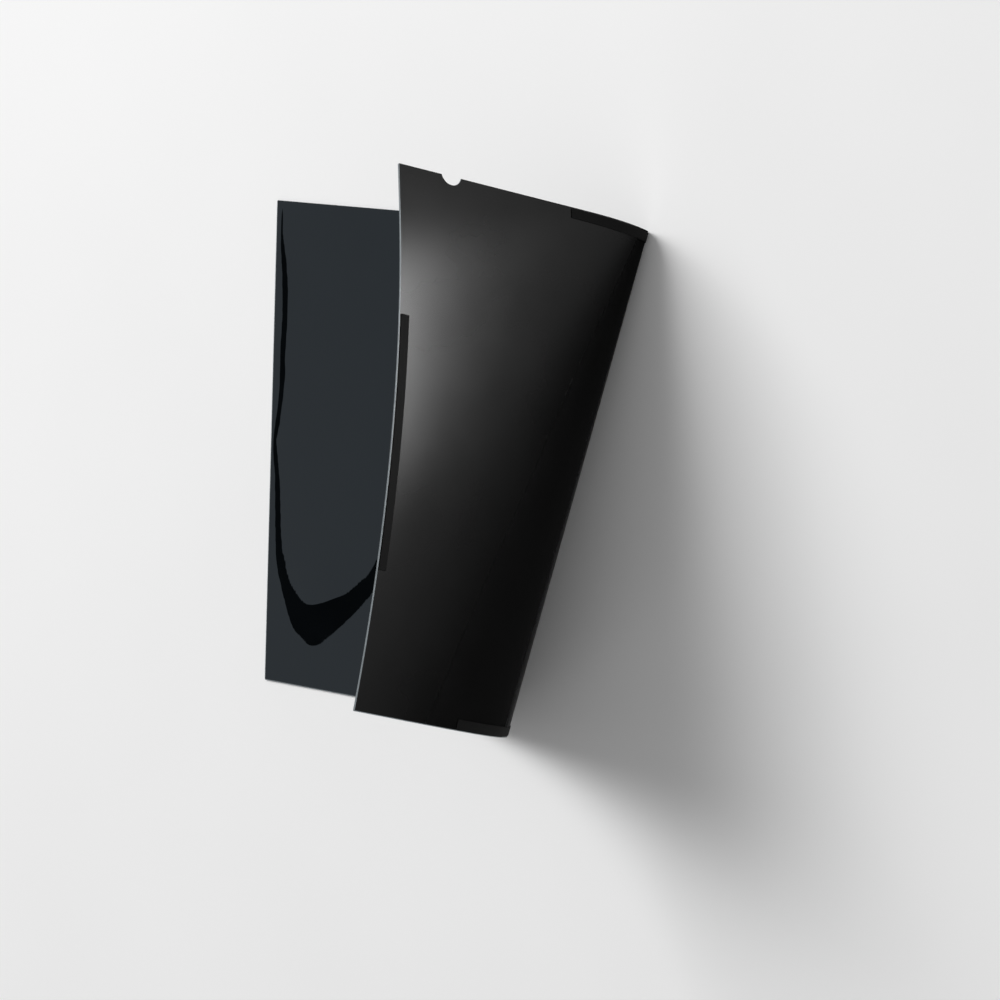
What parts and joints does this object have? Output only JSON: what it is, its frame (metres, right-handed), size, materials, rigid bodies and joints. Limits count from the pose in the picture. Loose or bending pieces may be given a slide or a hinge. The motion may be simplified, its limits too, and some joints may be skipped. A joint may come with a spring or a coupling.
{
  "type": "monitor privacy filter",
  "caption": "Dark louvre film for a wide screen, with a thumb notch and adhesive strips on its back; its right part is peeled up and curls over.",
  "frame": {"origin": "middle of the left adhesive strip's sticky face, on the plane that the filter sticks to or rests on", "axes": "+X along the sheet's width from the left edge, +Y up its height, +Z out of the front face of the part that lies flat"},
  "size_m": [0.3287, 0.3673, 0.2784],
  "materials": {
    "film": "glossy front, satin back",
    "adhesive_strip": "matte"
  },
  "bodies": {
    "root": {"film": "film", "strip_left": "adhesive_strip", "strip_right": "adhesive_strip", "strip_top": "adhesive_strip", "strip_bottom": "adhesive_strip"}
  },
  "joints": []
}
